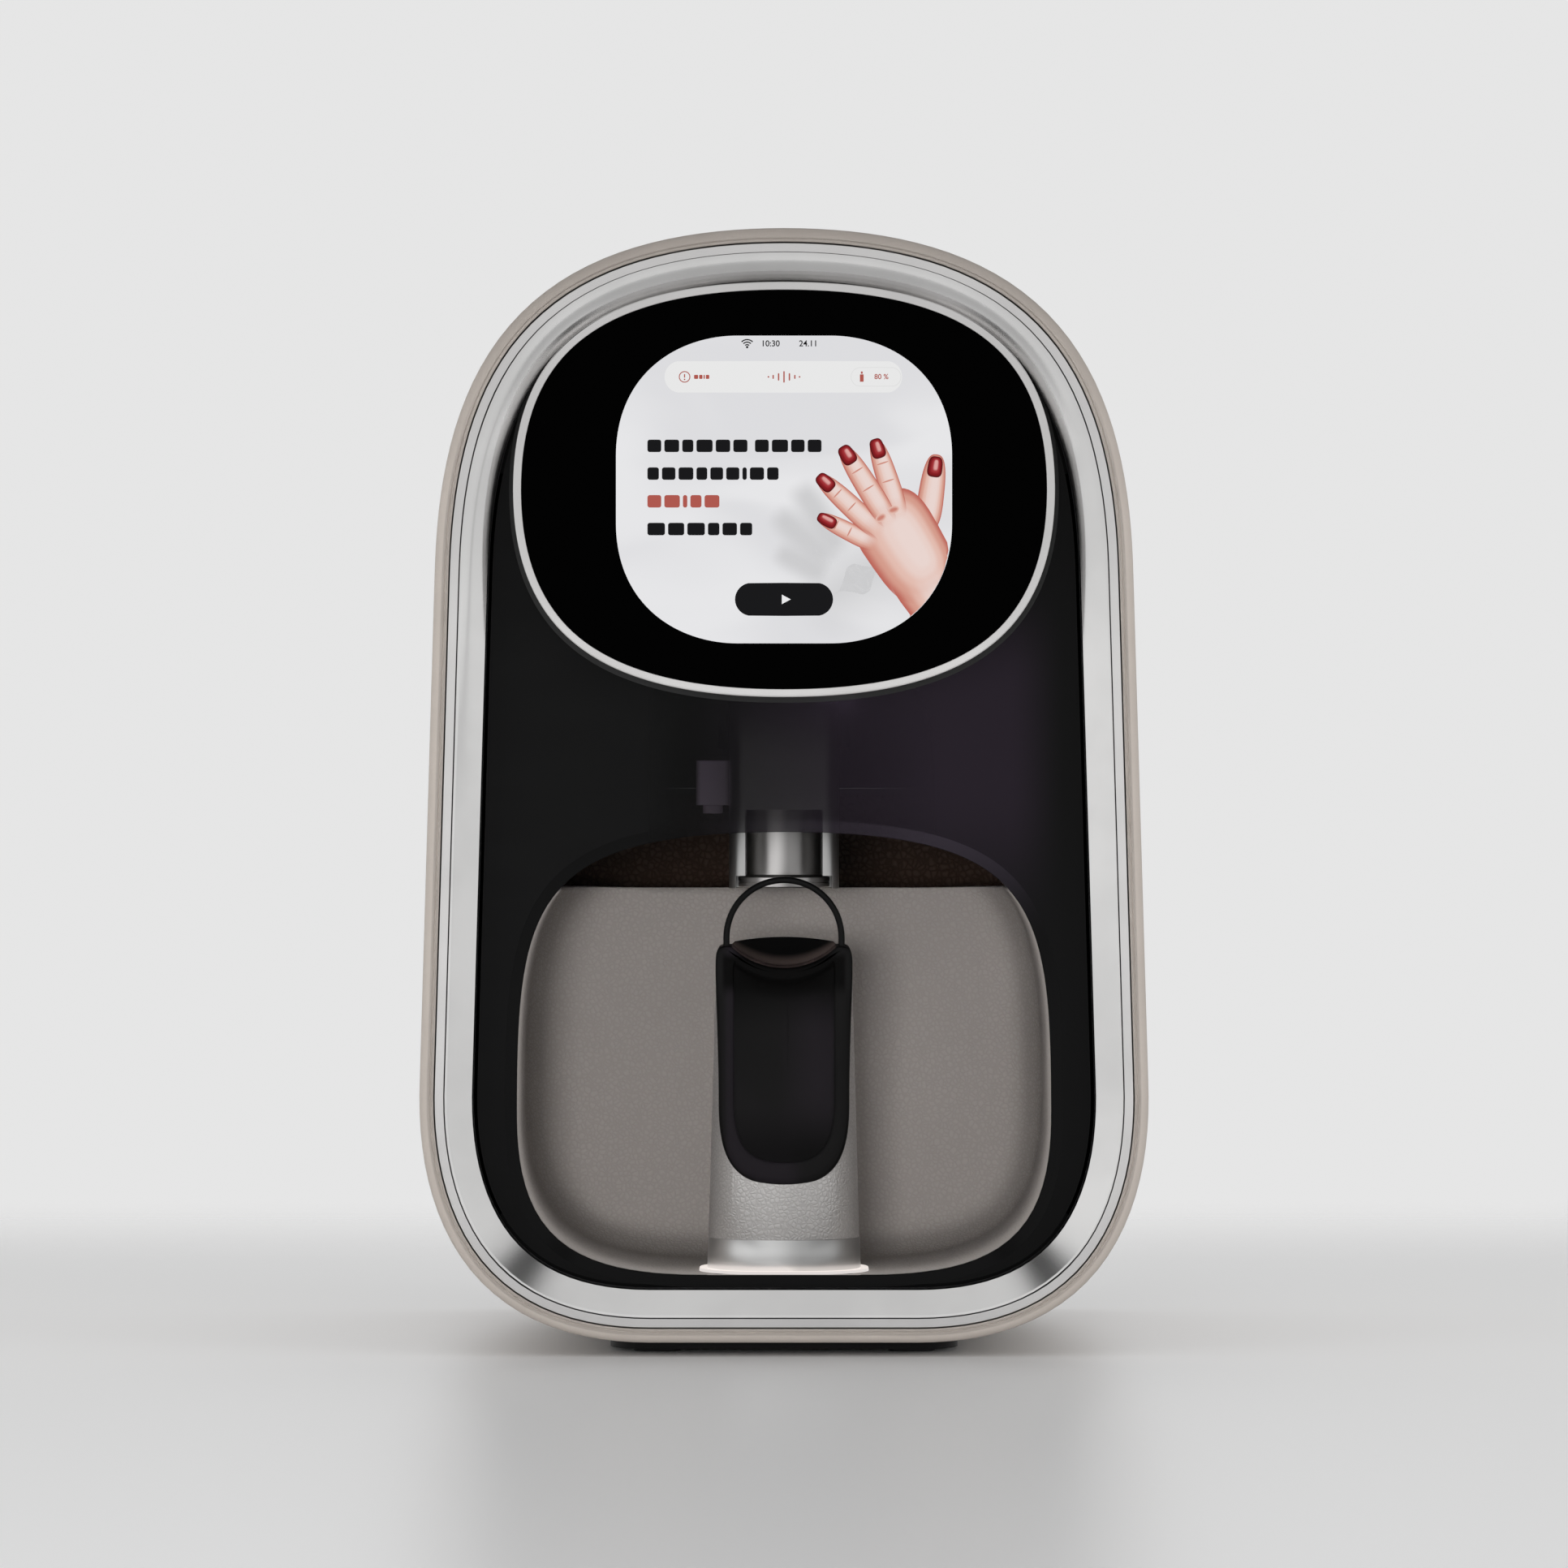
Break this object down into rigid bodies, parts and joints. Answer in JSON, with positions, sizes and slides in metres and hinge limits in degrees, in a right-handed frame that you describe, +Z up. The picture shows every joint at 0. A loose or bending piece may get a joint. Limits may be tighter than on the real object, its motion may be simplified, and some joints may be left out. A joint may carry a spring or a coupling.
{
  "type": "digital nail art printer",
  "caption": "Arched leather-wrapped counter-top cabinet with an oval touch display over an open chamber, where a post holds one fingertip under a moving print head.",
  "frame": {"origin": "on the table, under the middle of the cabinet", "axes": "+Z up, the front looks along -Y, +X is to the right of someone facing it"},
  "size_m": [0.216, 0.2, 0.334],
  "materials": {
    "taupe_leather": "fine-grained leather, satin",
    "chamber_leather": "fine-grained leather, matt",
    "dark_leather": "dark brown leather, matt",
    "post_leather": "moulded leather grain, light grey",
    "satin_metal": "satin anodised",
    "bright_metal": "polished",
    "smoked_visor": "smoked acrylic, polished",
    "display_glass": "black glass, polished",
    "display_light": "lit display panel",
    "black_plastic": "fine-textured moulding",
    "grey_plastic": "fine-textured moulding",
    "soft_touch": "soft-touch rubber, matt",
    "ring_light": "frosted, lit from below",
    "black_wire": "black powder coat",
    "steel": "ground",
    "black_metal": "black powder coat",
    "bronze": "sintered",
    "brass_nut": "turned",
    "belt_rubber": "toothed belt",
    "board_green": "solder mask",
    "cartridge_plastic": "moulded",
    "pad_rubber": "matt"
  },
  "bodies": {
    "cabinet": {"leather_wrap": "taupe_leather", "body_shell": "grey_plastic", "trim_ring": "bright_metal", "front_bezel": "satin_metal", "visor": "smoked_visor", "display_bezel": "bright_metal", "touch_glass": "display_glass", "display_housing": "black_plastic", "display_panel": "display_light", "display_board": "board_green", "chamber_liner": "chamber_leather", "chamber_tub": "black_plastic", "front_bulkhead": "black_metal", "mid_bulkhead": "black_metal", "bay_liner": "dark_leather", "tie_bars": "steel", "y_rods": "steel", "post_body": "post_leather", "post_skirt": "satin_metal", "light_ring": "ring_light", "led_board": "board_green", "post_bracket": "steel", "grip_pad": "soft_touch", "cradle_insert": "soft_touch", "y_motor": "black_metal", "main_board": "board_green", "fan_frame": "black_plastic", "rear_cover": "grey_plastic", "door_pins": "steel", "cover_magnet": "steel", "cover_screws": "steel", "io_board": "board_green", "usb_port": "steel", "foot_plate": "black_plastic", "rubber_pads": "pad_rubber", "machine_screws": "steel"},
    "bridge_unit": {"y_bridge": "black_metal", "y_bushes": "bronze", "x_rods": "steel", "x_belt": "belt_rubber", "x_motor": "black_metal", "y_nut": "brass_nut"},
    "carriage_unit": {"carriage": "black_plastic", "x_bushes": "bronze", "column_sleeve": "satin_metal", "camera_module": "black_plastic", "z_motor": "black_metal"},
    "print_head": {"print_barrel": "bright_metal", "nozzle_plate": "black_plastic", "ink_cartridge": "cartridge_plastic", "z_nut": "brass_nut"},
    "lift_screw": {"z_screw": "steel"},
    "travel_screw": {"y_screw": "steel"},
    "drive_pulley": {"x_drive_pulley": "satin_metal"},
    "idler_pulley": {"x_idler_pulley": "satin_metal"},
    "fan_wheel": {"fan_rotor": "black_plastic"},
    "rear_door": {"service_door": "grey_plastic", "door_magnet": "steel"},
    "button": {"power_button": "satin_metal"},
    "hoop": {"finger_hoop": "black_wire"}
  },
  "joints": [
    {"name": "bridge_travel", "type": "slide", "parent": "cabinet", "child": "bridge_unit", "axis": [0, 1, 0], "range_m": [-0.008, 0.02]},
    {"name": "carriage_travel", "type": "slide", "parent": "bridge_unit", "child": "carriage_unit", "axis": [1, 0, 0], "range_m": [-0.012, 0.012]},
    {"name": "head_lift", "type": "slide", "parent": "carriage_unit", "child": "print_head", "axis": [0, 0, 1], "range_m": [-0.008, 0]},
    {"name": "lift_screw_spin", "type": "hinge", "parent": "carriage_unit", "child": "lift_screw", "pos_m": [0, -0.05, 0.187], "axis": [0, 0, 1], "range_deg": [-1440.5, 0.5]},
    {"name": "travel_screw_spin", "type": "hinge", "parent": "cabinet", "child": "travel_screw", "pos_m": [0.062, 0.013, 0.197], "axis": [0, 1, 0], "range_deg": [-360.5, 900.5]},
    {"name": "drive_pulley_spin", "type": "hinge", "parent": "bridge_unit", "child": "drive_pulley", "pos_m": [-0.068, -0.002, 0.2098], "axis": [0, 0, 1], "range_deg": [-98.7, 98.7]},
    {"name": "idler_pulley_spin", "type": "hinge", "parent": "bridge_unit", "child": "idler_pulley", "pos_m": [0.068, -0.002, 0.2098], "axis": [0, 0, 1], "range_deg": [-98.7, 98.7]},
    {"name": "fan_spin", "type": "hinge", "parent": "cabinet", "child": "fan_wheel", "pos_m": [-0.028, 0.09, 0.09], "axis": [0, 1, 0], "continuous": true},
    {"name": "door_swing", "type": "hinge", "parent": "cabinet", "child": "rear_door", "pos_m": [-0.048, 0.0974, 0.22], "axis": [0, 0, 1], "range_deg": [0, 95]},
    {"name": "button_press", "type": "slide", "parent": "cabinet", "child": "button", "axis": [0, -1, 0], "range_m": [0, 0.0015], "stiffness_N_per_m": 800},
    {"name": "hoop_lift", "type": "slide", "parent": "cabinet", "child": "hoop", "axis": [0, 0, 1], "range_m": [0, 0.008]}
  ],
  "couplings": [
    {"joint": "lift_screw_spin", "follows": "head_lift", "rad_per_m": 3141.6},
    {"joint": "travel_screw_spin", "follows": "bridge_travel", "rad_per_m": 785.4},
    {"joint": "drive_pulley_spin", "follows": "carriage_travel", "rad_per_m": 142.86},
    {"joint": "idler_pulley_spin", "follows": "carriage_travel", "rad_per_m": 142.86}
  ]
}
